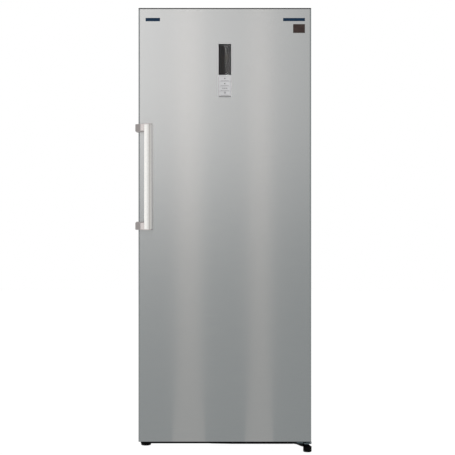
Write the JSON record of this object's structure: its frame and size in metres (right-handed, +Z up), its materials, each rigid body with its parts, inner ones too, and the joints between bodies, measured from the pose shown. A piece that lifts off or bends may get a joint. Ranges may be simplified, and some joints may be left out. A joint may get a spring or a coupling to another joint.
{
  "type": "upright refrigerator",
  "caption": "Tall upright refrigerator with one full-height brushed steel door, side-wrapping bar handle, display and keys, shelves, drawers, door bins and a fan-cooled no-frost circuit.",
  "frame": {"origin": "on the floor, under the middle of the overall depth and of the door's width", "axes": "+X to the right seen from the front, +Y to the back, +Z up"},
  "size_m": [0.7279, 0.7526, 1.843],
  "materials": {
    "door_steel": "brushed, clear coated",
    "silver_paint": "satin",
    "galvanised": "matte",
    "dark_steel": "satin",
    "black_enamel": "satin",
    "foam": "rigid foam",
    "white_plastic": "satin",
    "grey_plastic": "matte",
    "black_plastic": "matte",
    "silver_plastic": "satin paint",
    "clear_plastic": "gloss",
    "shelf_glass": "gloss",
    "smoked_glass": "gloss",
    "satin_aluminium": "satin",
    "cast_zinc": "satin",
    "fin_aluminium": "matte",
    "copper": "drawn copper",
    "board": "solder mask",
    "lamp": "diffuser",
    "grey_rubber": "matte",
    "black_rubber": "matte",
    "navy_plate": "gloss"
  },
  "bodies": {
    "cabinet": {"outer_wrapper": "silver_paint", "rear_panel": "galvanised", "base_pan": "galvanised", "insulation_foam": "foam", "inner_liner": "white_plastic", "front_plinth": "black_plastic", "top_hinge": "dark_steel", "top_hinge_cover": "grey_plastic", "bottom_hinge": "dark_steel", "hinge_screws": "galvanised", "compressor": "black_enamel", "compressor_mounts": "black_rubber", "terminal_cover": "black_plastic", "refrigerant_lines": "copper", "filter_drier": "copper", "drain_hose": "grey_plastic", "drain_pan": "black_plastic", "rear_bay_cover": "galvanised", "power_inlet": "black_plastic", "control_board": "board", "evaporator": "fin_aluminium", "defrost_heater": "fin_aluminium", "fan_motor": "black_plastic", "air_duct_panel": "white_plastic", "led_lamp": "lamp", "roller_axles": "galvanised", "shelf_trims": "white_plastic", "shelf_glass_1": "shelf_glass", "shelf_glass_2": "shelf_glass", "shelf_glass_3": "shelf_glass", "shelf_glass_4": "shelf_glass"},
    "door": {"door_skin": "door_steel", "door_foam": "foam", "door_liner": "white_plastic", "door_cap_top": "grey_plastic", "door_cap_bottom": "grey_plastic", "door_gasket": "grey_rubber", "hinge_bushes": "white_plastic", "handle_bar": "satin_aluminium", "handle_brackets": "cast_zinc", "handle_screws": "galvanised", "panel_bezel": "silver_plastic", "display_window": "smoked_glass", "display_board": "board", "door_plates": "navy_plate"},
    "key_1": {"key_1": "silver_plastic"},
    "key_2": {"key_2": "silver_plastic"},
    "key_3": {"key_3": "silver_plastic"},
    "key_4": {"key_4": "silver_plastic"},
    "door_bin_1": {"door_bin_1": "clear_plastic"},
    "door_bin_2": {"door_bin_2": "clear_plastic"},
    "door_bin_3": {"door_bin_3": "clear_plastic"},
    "door_bin_4": {"door_bin_4": "clear_plastic"},
    "drawer_lower": {"drawer_lower": "clear_plastic"},
    "drawer_upper": {"drawer_upper": "clear_plastic"},
    "fan_blade": {"fan_blade": "white_plastic"},
    "roller_left": {"roller_left": "black_plastic"},
    "roller_right": {"roller_right": "black_plastic"},
    "foot_left": {"foot_left": "black_plastic"},
    "foot_right": {"foot_right": "black_plastic"}
  },
  "joints": [
    {"name": "door_hinge", "type": "hinge", "parent": "cabinet", "child": "door", "pos_m": [0.34225, -0.296, 0.94], "axis": [0, 0, 1], "range_deg": [0, 120]},
    {"name": "key_press_1", "type": "slide", "parent": "door", "child": "key_1", "axis": [0, 1, 0], "range_m": [0, 0.0006], "stiffness_N_per_m": 600, "springref_m": -0.0004},
    {"name": "key_press_2", "type": "slide", "parent": "door", "child": "key_2", "axis": [0, 1, 0], "range_m": [0, 0.0006], "stiffness_N_per_m": 600, "springref_m": -0.0004},
    {"name": "key_press_3", "type": "slide", "parent": "door", "child": "key_3", "axis": [0, 1, 0], "range_m": [0, 0.0006], "stiffness_N_per_m": 600, "springref_m": -0.0004},
    {"name": "key_press_4", "type": "slide", "parent": "door", "child": "key_4", "axis": [0, 1, 0], "range_m": [0, 0.0006], "stiffness_N_per_m": 600, "springref_m": -0.0004},
    {"name": "bin_lift_1", "type": "slide", "parent": "door", "child": "door_bin_1", "axis": [0, 0, 1], "range_m": [0, 0.03]},
    {"name": "bin_lift_2", "type": "slide", "parent": "door", "child": "door_bin_2", "axis": [0, 0, 1], "range_m": [0, 0.03]},
    {"name": "bin_lift_3", "type": "slide", "parent": "door", "child": "door_bin_3", "axis": [0, 0, 1], "range_m": [0, 0.03]},
    {"name": "bin_lift_4", "type": "slide", "parent": "door", "child": "door_bin_4", "axis": [0, 0, 1], "range_m": [0, 0.03]},
    {"name": "drawer_slide_lower", "type": "slide", "parent": "cabinet", "child": "drawer_lower", "axis": [0, -1, 0], "range_m": [0, 0.065]},
    {"name": "drawer_slide_upper", "type": "slide", "parent": "cabinet", "child": "drawer_upper", "axis": [0, -1, 0], "range_m": [0, 0.065]},
    {"name": "fan_spin", "type": "hinge", "parent": "cabinet", "child": "fan_blade", "pos_m": [0, 0.2704, 0.9008], "axis": [0, 1, 0], "continuous": true},
    {"name": "roller_spin_left", "type": "hinge", "parent": "cabinet", "child": "roller_left", "pos_m": [-0.30075, 0.34, 0.013], "axis": [1, 0, 0], "continuous": true},
    {"name": "roller_spin_right", "type": "hinge", "parent": "cabinet", "child": "roller_right", "pos_m": [0.30075, 0.34, 0.013], "axis": [1, 0, 0], "continuous": true},
    {"name": "foot_turn_left", "type": "hinge", "parent": "cabinet", "child": "foot_left", "pos_m": [-0.33625, -0.182, 0.01], "axis": [0, 0, 1], "continuous": true},
    {"name": "foot_turn_right", "type": "hinge", "parent": "cabinet", "child": "foot_right", "pos_m": [0.34225, -0.296, 0.01], "axis": [0, 0, 1], "continuous": true}
  ]
}
